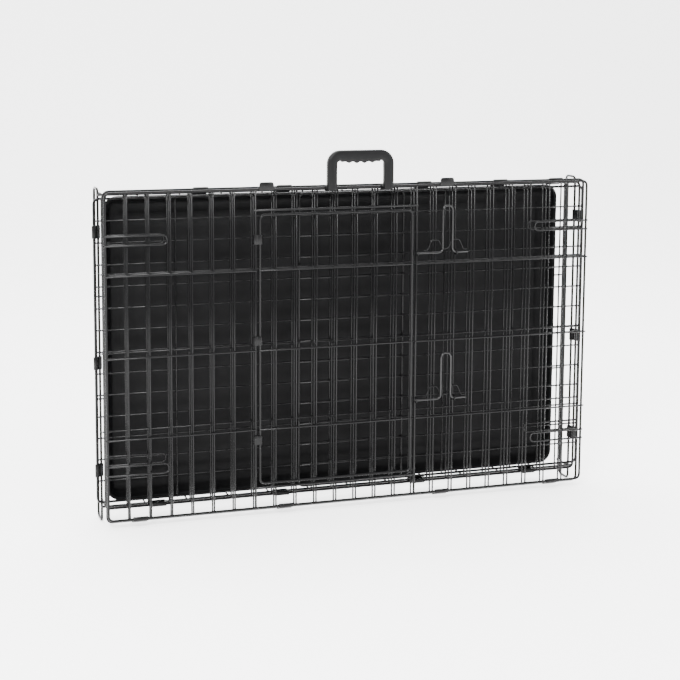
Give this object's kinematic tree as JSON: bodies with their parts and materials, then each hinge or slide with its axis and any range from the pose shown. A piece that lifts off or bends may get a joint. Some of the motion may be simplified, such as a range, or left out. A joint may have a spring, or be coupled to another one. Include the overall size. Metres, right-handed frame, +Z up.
{
  "type": "dog crate",
  "caption": "Folding wire dog crate with side door, slide bolts, carry handle and pull-out tray, folded flat and standing on its long edge.",
  "frame": {"origin": "middle of the folded crate's footprint, on the ground", "axes": "+X along the crate's length towards the end the tray slides out of, +Z up the folded panels to the carry handle, -Y towards the side with the door"},
  "size_m": [0.9237, 0.108, 0.646],
  "materials": {
    "wire": "satin black coating",
    "clip": "satin black",
    "latch": "satin black",
    "pan": "fine texture",
    "handle": "satin moulded"
  },
  "bodies": {
    "floor": {"floor_panel": "wire", "floor_lip_low": "wire", "floor_lip_high": "wire", "floor_loop_left": "wire", "floor_loop_right": "wire", "end_panel_left": "wire", "end_panel_right": "wire", "floor_clip_1": "clip", "floor_clip_2": "clip", "floor_clip_3": "clip", "floor_clip_4": "clip", "end_clip_left_1": "clip", "end_clip_left_2": "clip", "end_clip_left_3": "clip", "end_clip_right_1": "clip", "end_clip_right_2": "clip", "end_clip_right_3": "clip"},
    "pan": {"floor_pan": "pan"},
    "side_a": {"side_panel_a": "wire", "top_clip_1": "clip", "top_clip_2": "clip", "top_clip_3": "clip", "top_clip_4": "clip", "top_clip_5": "clip"},
    "top": {"top_panel": "wire", "side_clip_1": "clip", "side_clip_2": "clip", "side_clip_3": "clip", "side_clip_4": "clip"},
    "side_b": {"side_panel_b": "wire", "catch_tab_1": "clip", "catch_tab_2": "clip", "door_clip_1": "clip", "door_clip_2": "clip", "door_clip_3": "clip"},
    "side_door": {"side_door": "wire"},
    "handle": {"carry_handle": "handle"},
    "bolt_lower": {"slide_bolt_1": "latch"},
    "bolt_upper": {"slide_bolt_2": "latch"}
  },
  "joints": [
    {"name": "fold_side_a", "type": "hinge", "parent": "floor", "child": "side_a", "pos_m": [0, -0.00695, 0.03], "axis": [1, 0, 0], "range_deg": [0, 88]},
    {"name": "fold_top", "type": "hinge", "parent": "side_a", "child": "top", "pos_m": [0, -0.02095, 0.582], "axis": [-1, 0, 0], "range_deg": [0, 264]},
    {"name": "fold_side_b", "type": "hinge", "parent": "top", "child": "side_b", "pos_m": [0, -0.03495, 0.016], "axis": [1, 0, 0], "range_deg": [0, 88]},
    {"name": "pan_slide", "type": "slide", "parent": "floor", "child": "pan", "axis": [1, 0, 0], "range_m": [0, 0.6]},
    {"name": "handle_swing", "type": "hinge", "parent": "side_b", "child": "handle", "pos_m": [0, -0.03495, 0.58], "axis": [1, 0, 0], "range_deg": [0, 90]},
    {"name": "side_door_swing", "type": "hinge", "parent": "side_b", "child": "side_door", "pos_m": [-0.17825, -0.03495, 0], "axis": [0, 0, -1], "range_deg": [0, 120]},
    {"name": "bolt_lower_slide", "type": "slide", "parent": "side_b", "child": "bolt_lower", "axis": [-1, 0, 0], "range_m": [0, 0.016]},
    {"name": "bolt_upper_slide", "type": "slide", "parent": "side_b", "child": "bolt_upper", "axis": [-1, 0, 0], "range_m": [0, 0.016]}
  ],
  "couplings": [
    {"joint": "fold_top", "follows": "fold_side_a", "ratio": 3},
    {"joint": "fold_side_b", "follows": "fold_side_a", "ratio": 1}
  ]
}
